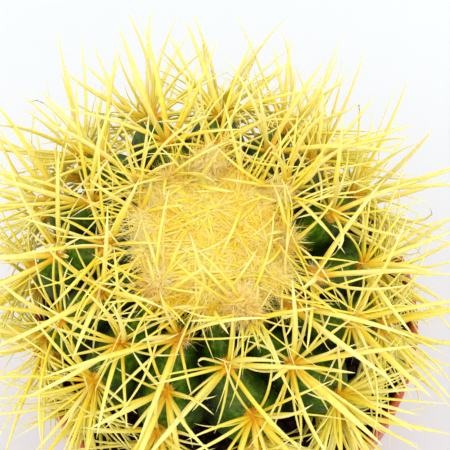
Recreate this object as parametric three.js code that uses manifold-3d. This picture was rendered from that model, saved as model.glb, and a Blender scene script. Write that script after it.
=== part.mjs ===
// A ribbed globe cactus with a woolly crown and long yellow spines, in a moulded plastic pot.
// Millimetres, +Z up. The origin is the centre of the pot's foot on the ground, and the front is -Y.
import * as THREE from "three";
import { mergeVertices } from "three/addons/utils/BufferGeometryUtils.js";
import Module from "manifold-3d";

const wasm = await Module();
wasm.setup();

const GAP = 0.35;
const SEED = 1187;

const POT = {
  height: 112,
  rimRadius: 66,
  lip: 1,
  collarHeight: 19,
  collarWall: 2.8,
  shoulderRadius: 62.3,
  footRadius: 46,
  footRingInner: 34,
  bossRadius: 14,
  footClearance: 2.5,
  wall: 1.8,
  floor: 2.2,
  segments: 48,
};
const DRAIN = { count: 6, radius: 4, circle: 24, segments: 10 };

const SOIL = {
  belowRim: 8.5,
  lump: 1.1,
  lumpLength: [6, 4],
  lumpTurns: [5, 3],
  roughRings: [45, 54],
  draft: 0.4,
  segments: 40,
  holeFrom: -28,
  holeStep: 10,
  holeSegments: 30,
};

const BODY = {
  radius: 55.5,
  topHeight: 34,
  baseHeight: 44,
  topPower: 2.1,
  basePower: 2.3,
  aboveRim: 32,
  offset: [-6, 3],
  leanRight: 4,
  leanFront: 5,
  dishDepth: 5.5,
  dishRadius: 20,
  grooveDepth: 9,
  grooveFades: [5, 30],
  grooveSharpness: 1.5,
  fullSide: 320,
  fullness: 0.1,
  fullWidth: 28,
  fullFades: [36, 50],
  columns: [0, 0.2, 0.5, 0.8],
  rows: 14,
  lastAngle: 156,
  neck: [
    [20, -53],
    [12, -62],
  ],
  neckEnd: -64,
};

// Each rib's azimuth in degrees, and how far down from the crown's edge its first areole sits.
const RIBS = [
  [19, 13],
  [42, 2.5],
  [61, 10],
  [86, 4.5],
  [111, 10.5],
  [137.5, 2.5],
  [157.5, 13.5],
  [180.5, 4.5],
  [204, 9],
  [228, 13.5],
  [252.5, 3],
  [279.5, 10],
  [303.5, 15.5],
  [330, 2.5],
  [350.5, 5],
];
const RIB_SLANT = { degrees: 13, towards: 335, pivot: 13, from: -10, to: 30 };

const AREOLE = { pitch: 17.5, lastArc: 69, along: 3, across: 2.6, height: 1.9, lift: 0.2, rootHeight: 0.6 };

const CROWN = {
  edge: 28,
  radius: 25.4,
  tufts: 11,
  tuftReach: 0.8,
  tuftHeight: 0.9,
  lumpHeight: 0.5,
  lumps: 3,
  thickness: 5.2,
  edgeThickness: 1.6,
  clearance: 0.5,
  topRings: [0.25, 0.5, 0.75, 0.92],
  underRings: [0.9, 0.45],
  columns: 33,
  spines: 46,
  spineLength: [13, 21],
  spineTilt: [38, 68],
  spineFan: 150,
  spineRadius: 0.5,
  spineInset: 3,
  spineSunk: 2,
  rootScatter: 28,
  rootSpan: 5,
};

// Spines of one areole. Turn is measured round the areole from straight down the rib, and tilt from
// the surface normal.
const CENTRAL = { turns: [100, 180, 262], tilt: [24, 44], length: [30, 43], radius: 0.72, spread: 0.4 };
const RADIAL = { turns: [50, 135, 225, 310], tilt: [60, 74], length: [17, 25], radius: 0.5, spread: 0.9 };
const LOWER = {
  radius: 0.7,
  rootHeight: 1.1,
  archHeight: 2.6,
  restHeight: 1.2,
  past: 7,
  tilt: [50, -30],
  length: [26, 16],
  fan: 60,
};
const ROOT_SPAN = 4;
const TIP_RADIUS = 0.12;

// How freely a spine that would cross another is drawn again: its turn, tilt and length may change by this.
const REDRAW = { tries: 60, fan: 20, wider: 50, steeper: 28, shorter: 0.25 };
const GOLDEN_TURN = 137.5;
const MERIDIAN_STEP = 0.5;
const CLEAR_STEP = 0.125;

const rad = THREE.MathUtils.degToRad;
const lerp = THREE.MathUtils.lerp;
const clamp = THREE.MathUtils.clamp;
const cylindrical = (r, turn, z) => new THREE.Vector3(r * Math.cos(turn), r * Math.sin(turn), z);

// A seeded draw between 0 and 1.
function randomFrom(seed) {
  let state = seed >>> 0;
  return () => {
    state = (state + 0x6d2b79f5) >>> 0;
    let mixed = Math.imul(state ^ (state >>> 15), state | 1);
    mixed ^= mixed + Math.imul(mixed ^ (mixed >>> 7), mixed | 61);
    return ((mixed ^ (mixed >>> 14)) >>> 0) / 4294967296;
  };
}

// Closed geometry to solid. Triangles that collapse on an axis are dropped.
function solidOf(geometry) {
  const bare = geometry.clone();
  bare.deleteAttribute("normal");
  bare.deleteAttribute("uv");
  const merged = mergeVertices(bare, 1e-4);
  const faces = [];
  for (let i = 0; i < merged.index.count; i += 3) {
    const [a, b, c] = [0, 1, 2].map((k) => merged.index.getX(i + k));
    if (a !== b && b !== c && c !== a) faces.push(a, b, c);
  }
  const vertProperties = merged.attributes.position.array;
  const build = (list) =>
    new wasm.Manifold(new wasm.Mesh({ numProp: 3, vertProperties, triVerts: new Uint32Array(list) }));
  const solid = build(faces);
  return solid.volume() > 0 ? solid : build(faces.reverse());
}

function geometryOf(solid) {
  const mesh = solid.getMesh();
  const geometry = new THREE.BufferGeometry();
  geometry.setAttribute("position", new THREE.BufferAttribute(mesh.vertProperties, 3));
  geometry.setIndex(new THREE.BufferAttribute(mesh.triVerts, 1));
  geometry.computeVertexNormals();
  return geometry;
}

function named(name, solid, material) {
  const mesh = new THREE.Mesh(geometryOf(solid), material);
  mesh.name = name;
  return mesh;
}

// A closed skin from rings of points, with one point at each end.
function skinOf(start, rings, end) {
  const columns = rings[0].length;
  const points = [start, ...rings.flat(), end];
  const index = [];
  const at = (ring, column) => 1 + ring * columns + (column % columns);
  for (let c = 0; c < columns; c++) {
    index.push(0, at(0, c), at(0, c + 1));
    for (let r = 0; r + 1 < rings.length; r++) {
      index.push(at(r, c), at(r + 1, c), at(r + 1, c + 1));
      index.push(at(r, c), at(r + 1, c + 1), at(r, c + 1));
    }
    index.push(at(rings.length - 1, c), points.length - 1, at(rings.length - 1, c + 1));
  }
  const geometry = new THREE.BufferGeometry().setFromPoints(points);
  geometry.setIndex(index);
  return geometry;
}

function lathe(profile, segments) {
  const points = profile.map(([r, z]) => new THREE.Vector2(r, z));
  return new THREE.LatheGeometry(points, segments).rotateX(Math.PI / 2);
}

// Pot
function potSolid() {
  const { height, rimRadius, lip, collarHeight, collarWall, shoulderRadius, footRadius, wall } = POT;
  const collarBase = height - collarHeight;
  const innerFloor = POT.footClearance + POT.floor;
  const profile = [
    [0, 0],
    [POT.bossRadius, 0],
    [POT.bossRadius + lip, POT.footClearance],
    [POT.footRingInner - lip, POT.footClearance],
    [POT.footRingInner, 0],
    [footRadius - lip, 0],
    [footRadius, lip],
    [shoulderRadius, collarBase],
    [rimRadius - lip, collarBase],
    [rimRadius, height - lip],
    [rimRadius - lip / 2, height],
    [rimRadius - collarWall + lip / 2, height],
    [rimRadius - collarWall, height - lip],
    [rimRadius - collarWall - lip / 2, collarBase + wall],
    [shoulderRadius - wall, collarBase],
    [footRadius - wall, innerFloor],
    [0, innerFloor],
  ];
  let pot = solidOf(lathe(profile, POT.segments));
  for (let i = 0; i < DRAIN.count; i++) {
    const turn = rad((360 / DRAIN.count) * i);
    const hole = new THREE.CylinderGeometry(DRAIN.radius, DRAIN.radius, 4 * POT.floor, DRAIN.segments);
    hole.rotateX(Math.PI / 2);
    hole.translate(...cylindrical(DRAIN.circle, turn, innerFloor).toArray());
    pot = pot.subtract(solidOf(hole));
  }
  return pot;
}

// Body: a meridian turned round the axis, with a groove between each two ribs. Heights are from the
// equator, and an angle of 0 is the apex and 90 the equator.
function meridian(angle) {
  const top = angle <= 90;
  const power = 2 / (top ? BODY.topPower : BODY.basePower);
  const r = BODY.radius * Math.sin(rad(angle)) ** power;
  const rise = Math.abs(Math.cos(rad(angle))) ** power;
  if (!top) return new THREE.Vector2(r, -BODY.baseHeight * rise);
  const dish = BODY.dishDepth * Math.exp(-((r / BODY.dishRadius) ** 2));
  return new THREE.Vector2(r, BODY.topHeight * rise - dish);
}

function meridianNormal(angle) {
  const along = meridian(angle + MERIDIAN_STEP).sub(meridian(Math.max(angle - MERIDIAN_STEP, 0)));
  return new THREE.Vector2(-along.y, along.x).normalize();
}

// The meridian's stops, each with its length along the skin from the crown's edge.
const MERIDIAN = [];
for (let angle = 0, arc = 0; angle <= BODY.lastAngle; angle += MERIDIAN_STEP) {
  const point = meridian(angle);
  if (angle > 0) arc += point.distanceTo(MERIDIAN.at(-1).point);
  MERIDIAN.push({ angle, arc, point, normal: meridianNormal(angle) });
}
const crownEdgeArc = MERIDIAN.find(({ point }) => point.x >= CROWN.edge).arc;
for (const stop of MERIDIAN) stop.arc -= crownEdgeArc;

const stopAtArc = (arc) => MERIDIAN.find((stop) => stop.arc >= arc) ?? MERIDIAN.at(-1);
const stopAtAngle = (angle) => MERIDIAN[Math.round(angle / MERIDIAN_STEP)];

function crestAzimuth(rib, arc) {
  const turns = Math.floor(rib / RIBS.length);
  const azimuth = RIBS[rib - turns * RIBS.length][0];
  const share = Math.max(0, Math.cos(rad(azimuth - RIB_SLANT.towards)));
  const run = clamp(arc, RIB_SLANT.from, RIB_SLANT.to) - RIB_SLANT.pivot;
  return azimuth + 360 * turns + (RIB_SLANT.degrees * share * run) / AREOLE.pitch;
}

function grooveDepthAt(point, angle) {
  const fading = THREE.MathUtils.smoothstep(point.x, ...BODY.grooveFades);
  const share = angle <= 90 ? fading : point.x / BODY.radius;
  return BODY.grooveDepth * share;
}

const grooveShare = (across) => (1 - Math.abs(2 * across - 1)) ** BODY.grooveSharpness;

// How much fuller than round the body is: it swells towards one side, between the crown and the soil.
function girth(r, azimuth) {
  const turned = THREE.MathUtils.euclideanModulo(azimuth - BODY.fullSide + 180, 360) - 180;
  const fading = THREE.MathUtils.smoothstep(r, ...BODY.fullFades);
  return 1 + BODY.fullness * fading * Math.exp(-((turned / BODY.fullWidth) ** 2));
}

function bodyPoint(stop, azimuth, outward) {
  const r = stop.point.x * girth(stop.point.x, azimuth) + stop.normal.x * outward;
  const z = stop.point.y + stop.normal.y * outward;
  return cylindrical(r, rad(azimuth), z);
}

function bodyGeometry() {
  const rings = [];
  for (let row = 1; row <= BODY.rows; row++) {
    const stop = stopAtAngle((BODY.lastAngle * row) / BODY.rows);
    const depth = grooveDepthAt(stop.point, stop.angle);
    const ring = [];
    for (let rib = 0; rib < RIBS.length; rib++) {
      for (const across of BODY.columns) {
        const azimuth = lerp(crestAzimuth(rib, stop.arc), crestAzimuth(rib + 1, stop.arc), across);
        ring.push(bodyPoint(stop, azimuth, -depth * grooveShare(across)));
      }
    }
    rings.push(ring);
  }
  for (const [r, z] of BODY.neck) {
    rings.push(
      rings[BODY.rows - 1].map((edge) => {
        const turn = Math.atan2(edge.y, edge.x);
        return cylindrical(r, turn, z);
      }),
    );
  }
  const apex = new THREE.Vector3(0, 0, MERIDIAN[0].point.y);
  return skinOf(apex, rings, new THREE.Vector3(0, 0, BODY.neckEnd));
}

// How far a point lies outside the body's skin.
function aboveBody(p) {
  let azimuth = (Math.atan2(p.y, p.x) * 180) / Math.PI;
  const r = Math.hypot(p.x, p.y);
  const flat = new THREE.Vector2(r / girth(r, azimuth), p.z);
  let near = MERIDIAN[0];
  for (const stop of MERIDIAN) {
    if (stop.point.distanceToSquared(flat) < near.point.distanceToSquared(flat)) near = stop;
  }
  const overCrest = flat.sub(near.point).dot(near.normal);
  while (azimuth < crestAzimuth(0, near.arc)) azimuth += 360;
  let rib = 0;
  while (crestAzimuth(rib + 1, near.arc) <= azimuth) rib++;
  const [left, right] = [crestAzimuth(rib, near.arc), crestAzimuth(rib + 1, near.arc)];
  const across = (azimuth - left) / (right - left);
  return overCrest + grooveDepthAt(near.point, near.angle) * grooveShare(across);
}

// Crown: a cap of felt in the apex's dish, lobed where the youngest areoles stand round its edge.
function crownRadius(turn) {
  return CROWN.radius + CROWN.tuftReach * Math.cos(CROWN.tufts * turn);
}

function crownFloor(r) {
  const stop = MERIDIAN.find(({ point }) => point.x >= r);
  return stop.point.y + CROWN.clearance;
}

function crownTop(r, turn) {
  const share = clamp(r / crownRadius(turn), 0, 1);
  const dome = CROWN.thickness * (1 - share ** 3) + CROWN.edgeThickness;
  const tufts = CROWN.tuftHeight * share ** 2 * Math.cos(CROWN.tufts * turn);
  const lumps = CROWN.lumpHeight * Math.sin(CROWN.lumps * turn + 1) * Math.sin(Math.PI * share);
  return crownFloor(r) + dome + tufts + lumps;
}

function crownCap() {
  const ringAt = (share, height) =>
    Array.from({ length: CROWN.columns }, (_, i) => {
      const turn = (2 * Math.PI * i) / CROWN.columns;
      const r = share * crownRadius(turn);
      return cylindrical(r, turn, height(r, turn));
    });
  const top = CROWN.topRings.map((share) => ringAt(share, crownTop));
  const edge = ringAt(1, (r, turn) => lerp(crownFloor(r), crownTop(r, turn), 0.5));
  const under = CROWN.underRings.map((share) => ringAt(share, (r) => crownFloor(r)));
  const middle = new THREE.Vector3(0, 0, crownTop(0, 0));
  return skinOf(middle, [...top, edge, ...under], new THREE.Vector3(0, 0, crownFloor(0)));
}

const ANY_SIDE = new THREE.Vector3(0.31, 0.22, 0.93);

// A three-sided needle along a path, from its root to a fine point.
function needle(path, radius) {
  const rings = [];
  const side = new THREE.Vector3();
  for (let i = 0; i + 1 < path.length; i++) {
    const along = path[i + 1].clone().sub(path[i]).normalize();
    if (i === 0) side.crossVectors(along, ANY_SIDE).normalize();
    side.addScaledVector(along, -side.dot(along)).normalize();
    const across = new THREE.Vector3().crossVectors(along, side);
    const size = lerp(radius, TIP_RADIUS, i / (path.length - 1));
    const ring = [0, 120, 240].map((turn) =>
      path[i]
        .clone()
        .addScaledVector(side, size * Math.cos(rad(turn)))
        .addScaledVector(across, size * Math.sin(rad(turn))),
    );
    rings.push(ring);
  }
  const points = [...rings.flat(), path.at(-1)];
  const index = [0, 2, 1];
  for (let r = 0; r + 1 < rings.length; r++) {
    for (let c = 0; c < 3; c++) {
      const [a, b] = [3 * r + c, 3 * r + ((c + 1) % 3)];
      index.push(a, b, b + 3, a, b + 3, a + 3);
    }
  }
  const last = 3 * (rings.length - 1);
  for (let c = 0; c < 3; c++) index.push(last + c, last + ((c + 1) % 3), points.length - 1);
  const geometry = new THREE.BufferGeometry().setFromPoints(points);
  geometry.setIndex(index);
  return geometry;
}

// Shortest distance between two straight stretches, with the share along each where it falls.
function between(p, q) {
  const [u, v] = [p.b.clone().sub(p.a), q.b.clone().sub(q.a)];
  const w = p.a.clone().sub(q.a);
  const [a, b, c, d, e] = [u.dot(u), u.dot(v), v.dot(v), u.dot(w), v.dot(w)];
  const square = a * c - b * b;
  const s = square > 1e-9 ? clamp((b * e - c * d) / square, 0, 1) : 0;
  const t = clamp((b * s + e) / c, 0, 1);
  const again = clamp((b * t - d) / a, 0, 1);
  const gap = w.addScaledVector(u, again).addScaledVector(v, -t).length();
  return { gap, s: again, t };
}

// The plant's place: its own frame has the equator's centre as origin.
const plant = new THREE.Group();
plant.position.set(...BODY.offset, POT.height + BODY.aboveRim);
plant.rotation.set(rad(BODY.leanFront), rad(BODY.leanRight), 0);
plant.updateMatrix();

function clearOfPot(p, margin) {
  const world = p.clone().applyMatrix4(plant.matrix);
  if (world.z < POT.height - SOIL.belowRim + SOIL.lump + margin) return false;
  const inside = POT.rimRadius - POT.collarWall - POT.lip;
  return world.z > POT.height + margin || Math.hypot(world.x, world.y) < inside - margin;
}

const placed = [];
const pads = [];

// A path's straight stretches outside its own root, with the spine's radius at each end.
function stretches(path, radius, rootSpan) {
  const sizes = path.map((_, i) => lerp(radius, TIP_RADIUS, i / (path.length - 1)));
  const start = path[1].clone().sub(path[0]).setLength(rootSpan).add(path[0]);
  const free = [start, ...path.slice(1)];
  return free.slice(1).map((b, i) => ({ a: free[i], b, from: sizes[i], to: sizes[i + 1] }));
}

function overCrown(p, margin) {
  const [r, turn] = [Math.hypot(p.x, p.y), Math.atan2(p.y, p.x)];
  return r > crownRadius(turn) + margin || p.z > crownTop(r, turn) + margin;
}

function stretchIsClear(part, root, fromCrown) {
  for (let share = 0; share <= 1; share += CLEAR_STEP) {
    const p = part.a.clone().lerp(part.b, share);
    const margin = lerp(part.from, part.to, share) + GAP;
    if (aboveBody(p) < margin || !clearOfPot(p, margin)) return false;
    if (!fromCrown && !overCrown(p, margin)) return false;
  }
  for (const pad of pads) {
    if (pad.distanceTo(root) < AREOLE.along) continue;
    const near = new THREE.Line3(part.a, part.b).closestPointToPoint(pad, true, new THREE.Vector3());
    if (near.distanceTo(pad) < AREOLE.along + part.from + GAP) return false;
  }
  return placed.every((other) => {
    const { gap, s, t } = between(part, other);
    return gap > lerp(part.from, part.to, s) + lerp(other.from, other.to, t) + GAP;
  });
}

// Tries a drawn path, and draws it again ever more freely until it clears all that is placed.
function settle(draw, radius, rootSpan, fromCrown) {
  for (let attempt = 0; attempt < REDRAW.tries; attempt++) {
    const path = draw(attempt / REDRAW.tries);
    const parts = stretches(path, radius, rootSpan);
    if (!parts.every((part) => stretchIsClear(part, path[0], fromCrown))) continue;
    placed.push(...parts);
    return solidOf(needle(path, radius));
  }
  return null;
}

function areolesOf(rib) {
  const areoles = [];
  for (let arc = RIBS[rib][1]; arc <= AREOLE.lastArc; arc += AREOLE.pitch) {
    const stop = stopAtArc(arc);
    const azimuth = crestAzimuth(rib, stop.arc);
    const surface = bodyPoint(stop, azimuth, 0);
    const normal = bodyPoint(stop, azimuth, 1).sub(surface);
    const next = stopAtArc(stop.arc + 1);
    const down = bodyPoint(next, crestAzimuth(rib, next.arc), 0).sub(surface).normalize();
    const across = new THREE.Vector3().crossVectors(normal, down).normalize();
    areoles.push({ arc: stop.arc, surface, normal, down, across });
  }
  return areoles;
}

// An areole's woolly pad, swollen when it is the seat cut for it in the rib's crest.
function padSolid({ surface, normal, down, across }, swell) {
  const pad = new THREE.IcosahedronGeometry(1, 0);
  pad.scale(AREOLE.along + swell, AREOLE.across + swell, AREOLE.height + swell);
  const place = new THREE.Matrix4().makeBasis(down, across, normal);
  place.setPosition(surface.clone().addScaledVector(normal, AREOLE.lift));
  return solidOf(pad.applyMatrix4(place));
}

// The direction so many degrees from one unit vector towards another square to it.
function blend(from, to, degrees) {
  return from.clone().multiplyScalar(Math.cos(rad(degrees))).addScaledVector(to, Math.sin(rad(degrees)));
}

function spinePath(areole, turn, tilt, length, spread) {
  const { surface, normal, down, across } = areole;
  const heading = blend(down, across, turn);
  const direction = blend(normal, heading, tilt);
  const root = surface.clone().addScaledVector(normal, AREOLE.rootHeight).addScaledVector(heading, spread);
  return [root, root.clone().addScaledVector(direction, length)];
}

// The lower central spine arches down the rib and lies over the next areole.
function restingSpine(rib, areole, next) {
  const middle = stopAtArc((areole.arc + next.arc) / 2);
  const root = areole.surface.clone().addScaledVector(areole.normal, LOWER.rootHeight);
  const arch = bodyPoint(middle, crestAzimuth(rib, middle.arc), LOWER.archHeight);
  const rest = next.surface.clone().addScaledVector(next.normal, LOWER.restHeight);
  const end = rest.clone().add(rest.clone().sub(arch).setLength(LOWER.past));
  const path = [root, arch, end];
  placed.push(...stretches(path, LOWER.radius, ROOT_SPAN));
  return solidOf(needle(path, LOWER.radius));
}

// The lowest areole's own lower spine ends free, turned up where the soil is near.
function freeSpine(areole, random) {
  const draw = (loose) => {
    const turn = (random() - 0.5) * LOWER.fan;
    return spinePath(areole, turn, lerp(...LOWER.tilt, loose), lerp(...LOWER.length, loose), CENTRAL.spread);
  };
  return settle(draw, LOWER.radius, ROOT_SPAN, false);
}

function drawnSpine(kind, turn, areole, random) {
  const [tiltAt, lengthAt] = [random(), random()];
  const draw = (loose) => {
    const at = turn + (REDRAW.fan + REDRAW.wider * loose) * (random() - 0.5);
    const tilt = lerp(...kind.tilt, tiltAt) - REDRAW.steeper * loose * random();
    const length = lerp(...kind.length, lengthAt) * (1 - REDRAW.shorter * loose);
    return spinePath(areole, at, tilt, length, kind.spread);
  };
  return settle(draw, kind.radius, ROOT_SPAN, false);
}

// Young spines stand all over the felt and lean inwards across each other.
function crownSpine(index, random) {
  const draw = () => {
    const r = (CROWN.radius - CROWN.spineInset) * Math.sqrt((index + 0.5) / CROWN.spines);
    const turn = rad(index * GOLDEN_TURN + (random() - 0.5) * CROWN.rootScatter);
    const root = cylindrical(r, turn, crownTop(r, turn) - CROWN.spineSunk);
    const heading = turn + Math.PI + (random() - 0.5) * rad(CROWN.spineFan);
    const tilt = rad(lerp(...CROWN.spineTilt, random()));
    const length = lerp(...CROWN.spineLength, random());
    return [root, root.clone().add(cylindrical(Math.sin(tilt) * length, heading, Math.cos(tilt) * length))];
  };
  return settle(draw, CROWN.spineRadius, CROWN.rootSpan, true);
}

function crownSolid(random) {
  const spines = Array.from({ length: CROWN.spines }, (_, i) => crownSpine(i, random));
  return joined([solidOf(crownCap()), ...spines]);
}

// One body from solids that meet. A spine that found no clear way is left out.
function joined(solids) {
  return solids.filter(Boolean).reduce((whole, solid) => whole.add(solid));
}

// Soil: fills the pot to below its rim, lumpy on top, with a plain hole for the plant's base.
function soilSolid() {
  const { height, collarHeight, collarWall, shoulderRadius, footRadius, rimRadius, wall } = POT;
  const collarBase = height - collarHeight;
  const bottom = POT.footClearance + POT.floor + GAP;
  const surface = height - SOIL.belowRim;
  const innerCollar = rimRadius - collarWall - POT.lip - GAP;
  const lumpAt = (r, turn) => {
    const [first, second] = SOIL.lumpTurns.map((turns) => turns * turn);
    return SOIL.lump * Math.sin(first + r / SOIL.lumpLength[0]) * Math.cos(second - r / SOIL.lumpLength[1]);
  };
  const ringAt = (r, z) =>
    Array.from({ length: SOIL.segments }, (_, i) => {
      const turn = (2 * Math.PI * i) / SOIL.segments;
      return cylindrical(r, turn, z(r, turn));
    });
  const level = (z) => () => z;
  const rough = (r, turn) => surface + lumpAt(r, turn);
  const rings = [
    ...SOIL.roughRings.map((r) => ringAt(r, rough)),
    ringAt(innerCollar, (r, turn) => surface + lumpAt(r, turn) / 2),
    ringAt(innerCollar - SOIL.draft, level(collarBase + wall + GAP)),
    ringAt(shoulderRadius - wall - 2 * GAP, level(collarBase - GAP)),
    ringAt(footRadius - wall - GAP, level(bottom)),
  ];
  const centre = (z) => new THREE.Vector3(0, 0, z);
  const soil = solidOf(skinOf(centre(surface), rings, centre(bottom)));
  return soil.subtract(solidOf(rootHole().applyMatrix4(plant.matrix)));
}

// The plain round hole that the plant's base stands in.
function rootHole() {
  const base = MERIDIAN.filter(({ point }, i) => point.y < SOIL.holeFrom && i % SOIL.holeStep === 0);
  const wall = base.map(({ point, normal }) => [point.x + normal.x * 2 * GAP, point.y + normal.y * 2 * GAP]);
  const neck = BODY.neck.map(([r, z]) => [r + 2 * GAP, z]);
  const end = BODY.neckEnd - GAP;
  return lathe([[0, wall[0][1]], ...wall, ...neck, [BODY.neck.at(-1)[0], end], [0, end]], SOIL.holeSegments);
}

const plasticOrange = new THREE.MeshStandardMaterial({ color: 0xc2562c, roughness: 0.5, metalness: 0 });
const darkSoil = new THREE.MeshStandardMaterial({ color: 0x35200f, roughness: 1, metalness: 0 });
const greenSkin = new THREE.MeshStandardMaterial({ color: 0x2c5a2a, roughness: 0.5, metalness: 0 });
const creamWool = new THREE.MeshStandardMaterial({ color: 0xf0d58a, roughness: 1, metalness: 0 });
const yellowSpine = new THREE.MeshStandardMaterial({ color: 0xf5dc55, roughness: 0.45, metalness: 0 });

const random = randomFrom(SEED);
const ribs = RIBS.map((_, rib) => areolesOf(rib));
pads.push(...ribs.flat().map(({ surface }) => surface));

let skin = solidOf(bodyGeometry());
for (const areole of ribs.flat()) skin = skin.subtract(padSolid(areole, GAP));

plant.add(named("cactus_body", skin, greenSkin));
plant.add(named("woolly_crown", crownSolid(random), creamWool));

// The strongest spines are placed first on every rib, and the finer ones find their way between them.
const bunches = ribs.map((areoles) => areoles.map((areole) => padSolid(areole, 0)));
ribs.forEach((areoles, rib) => {
  areoles.slice(1).forEach((next, i) => bunches[rib].push(restingSpine(rib, areoles[i], next)));
});
ribs.forEach((areoles, rib) => bunches[rib].push(freeSpine(areoles.at(-1), random)));
for (const kind of [CENTRAL, RADIAL]) {
  ribs.forEach((areoles, rib) => {
    for (const areole of areoles) {
      for (const turn of kind.turns) bunches[rib].push(drawnSpine(kind, turn, areole, random));
    }
  });
}
bunches.forEach((solids, rib) => {
  plant.add(named("spines_rib_" + String(rib + 1).padStart(2, "0"), joined(solids), yellowSpine));
});

const cactus = new THREE.Group();
cactus.add(named("pot", potSolid(), plasticOrange));
cactus.add(named("soil", soilSolid(), darkSoil));
cactus.add(plant);

export default cactus;
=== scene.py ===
# A potted round cactus: ribbed skin, woolly crown, bunches of long yellow spines, soil and a plastic pot.
# Sizes are in millimetres, and MM turns them into metres where a mesh is made.
from types import SimpleNamespace as Sizes

import bmesh
import bpy
import numpy as np
from mathutils import Matrix, Vector


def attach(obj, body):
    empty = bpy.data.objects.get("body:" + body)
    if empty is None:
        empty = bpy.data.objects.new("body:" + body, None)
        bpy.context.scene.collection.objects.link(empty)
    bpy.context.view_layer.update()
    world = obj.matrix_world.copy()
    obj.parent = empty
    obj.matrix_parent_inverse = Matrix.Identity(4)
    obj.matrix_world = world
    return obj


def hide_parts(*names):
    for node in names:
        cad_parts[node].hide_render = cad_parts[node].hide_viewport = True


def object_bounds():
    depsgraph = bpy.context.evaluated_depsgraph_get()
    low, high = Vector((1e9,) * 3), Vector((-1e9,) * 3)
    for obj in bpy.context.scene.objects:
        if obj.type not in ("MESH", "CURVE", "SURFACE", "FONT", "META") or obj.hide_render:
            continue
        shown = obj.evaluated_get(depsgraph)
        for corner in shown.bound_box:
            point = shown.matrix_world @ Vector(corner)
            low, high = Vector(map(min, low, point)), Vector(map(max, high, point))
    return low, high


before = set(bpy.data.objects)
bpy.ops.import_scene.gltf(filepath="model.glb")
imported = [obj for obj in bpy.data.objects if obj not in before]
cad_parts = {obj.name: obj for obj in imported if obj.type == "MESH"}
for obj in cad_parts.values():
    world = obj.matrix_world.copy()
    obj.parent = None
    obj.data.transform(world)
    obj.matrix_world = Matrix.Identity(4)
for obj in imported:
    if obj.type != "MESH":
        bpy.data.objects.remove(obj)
CAD_BOX = [[float(x) for x in corner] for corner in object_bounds()]

MM = 0.001
SEED = 4107

POT = Sizes(
    height=112, rim=66, lip=1, collar=19, collar_wall=2.8, shoulder=62.3, foot=46, ring_inner=34, boss=14,
    clearance=2.5, wall=1.8, floor=2.2, segments=160,
)
DRAIN = Sizes(count=6, radius=4, circle=24, segments=32)
# The soil's grain is three waves: how many go round, and their radians for each millimetre outwards.
SOIL = Sizes(
    below_rim=8.5, lump=1.1, lump_length=(6, 4), lump_turns=(5, 3),
    grain=((23, 1.7), (31, -2.3), (57, 3.1)), grain_height=0.35, draft=0.4, gap=0.35, top_middle=1,
    base_middle=0.5, rings=90, columns=240,
)
# Lumps strewn over the soil: the ring they lie in, how far small ones prevail, and how high they stand.
LUMP = Sizes(ring=(34, 61), prevail=2.2, roughness=(0.75, 1.2), stand=0.25)
CRUMBS = Sizes(count=4200, size=(0.35, 1.7), stretch=0.25)
BARK = Sizes(count=120, size=(1.0, 2.3), stretch=0.6)
BODY = Sizes(
    radius=55.5, top_height=34, base_height=44, top_power=2.1, base_power=2.3, above_rim=32, offset=(-6, 3),
    lean_right=4, lean_front=5, dish_depth=5.5, dish_radius=20, groove_depth=9, groove_fades=(5, 30),
    groove_sharpness=1.5, last_angle=156, angle_step=0.5, first_stop=2,
    neck=((20, -53), (12, -62), (1, -64)), full_side=320, fullness=0.1, full_width=28, full_fades=(36, 50),
    chin=0.9, chin_power=1.5, chin_fades=(-4, 4), columns=22, row_step=0.9,
)
# Azimuth of each rib in degrees, and how far down from the crown's edge its first areole sits.
RIBS = (
    (19, 13), (42, 2.5), (61, 10), (86, 4.5), (111, 10.5), (137.5, 2.5), (157.5, 13.5), (180.5, 4.5),
    (204, 9), (228, 13.5), (252.5, 3), (279.5, 10), (303.5, 15.5), (330, 2.5), (350.5, 5),
)
SLANT = Sizes(degrees=13, towards=335, pivot=13, start=-10, end=30)
# Tones of hairs run from 0, the palest, to 1. They are paler towards the areole's rim.
AREOLE = Sizes(
    pitch=17.5, last_arc=69, along=3, across=2.6, height=1.7, size=(0.85, 1.1), roughness=(0.9, 1.1),
    hairs=230, hair=(0.9, 2.3), width=0.16, steps=2, seat=0.85, spread=(1, 1, 0.8), wild=0.7, bend=0.5,
    curl=0.3, tone=0.75, tone_spread=0.15, paler=0.4, young_arc=7, young_hair=1.9, young_paler=0.8,
)
CROWN = Sizes(
    edge=28, radius=25.4, tufts=11, tuft_reach=0.8, tuft_height=0.9, lump_height=0.5, lumps=3,
    thickness=5.2, edge_thickness=1.6, clearance=0.5, within_angle=60, hair_margin=0.3, stray=(1.6, 1.3),
    stray_turns=(3, 7),
)
FELT = Sizes(
    rows=46, columns=150, start=0.004, ripple=0.25, ripple_turns=9, ripple_run=1.3, wrinkle=0.18,
    wrinkle_turns=23, wrinkle_run=1.9, flat_edge=6, tuck=0.985, sink=0.4, hole=0.05, tone=0.25,
    bare_fades=(-0.7, 0.6),
)
# Hairs matted over the felt. They face upwards but for some sway, and are creamier towards one side.
MATTED = Sizes(
    hairs=11000, hair=(3, 8), width=0.2, steps=3, rise=(-0.2, 1.3), tilt=(62, 96), bend=0.4, curl=0.35,
    upwards=1, sway=0.35, tone=0.34, tone_spread=0.16, tone_limit=0.8, cream=0.34, cream_side=168,
    cream_width=30,
)
# Where skin shows through the wool at the crown's edge: azimuth and width in degrees, depth in millimetres.
NOTCHES = ((14, 17, 5.5), (62, 10, 3.5), (206, 12, 4.5), (256, 9, 3), (318, 12, 3.2))
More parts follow.
